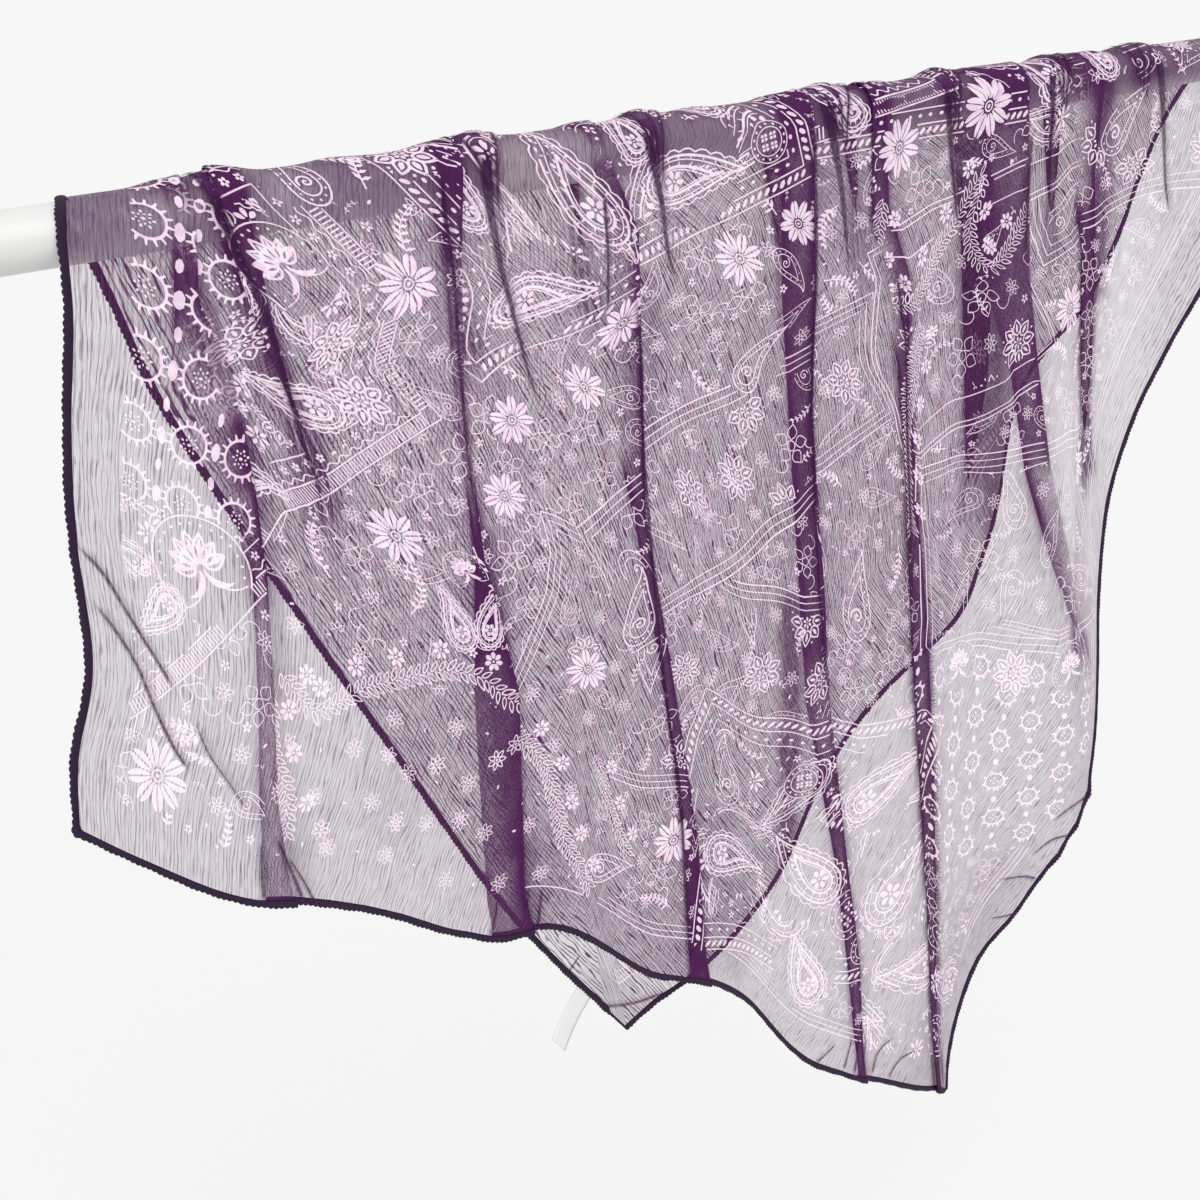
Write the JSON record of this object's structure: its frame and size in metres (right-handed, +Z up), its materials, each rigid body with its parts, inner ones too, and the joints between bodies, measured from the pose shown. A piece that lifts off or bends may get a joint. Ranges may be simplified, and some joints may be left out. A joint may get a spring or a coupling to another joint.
{
  "type": "chiffon scarf draped over a round rod",
  "caption": "Square sheer chiffon scarf with a narrow overlocked hem and a bare care label, draped point-down over a round white rod in soft hanging pleats.",
  "frame": {"origin": "centre of the rod's left end face, where the rod is held", "axes": "+X along the rod from its left end to its right, +Y from the scarf's front fall towards its back fall, +Z up"},
  "size_m": [1, 0.0405, 0.6061],
  "materials": {
    "chiffon": "sheer crinkled chiffon, soft sheen, printed in pale pink-lilac",
    "overlock_thread": "dense polyester overlock stitching, slightly scalloped",
    "white_paint": "smooth white paint, satin gloss",
    "label_satin": "bare white satin ribbon"
  },
  "bodies": {
    "root": {"rod": "white_paint", "front_fall": "chiffon", "over_rod": "chiffon", "back_fall": "chiffon", "hem_front_left": "overlock_thread", "hem_front_lower": "overlock_thread", "hem_front_right": "overlock_thread", "hem_over_left": "overlock_thread", "hem_over_right": "overlock_thread", "hem_back_left": "overlock_thread", "hem_back_right": "overlock_thread", "care_label": "label_satin"}
  },
  "joints": []
}
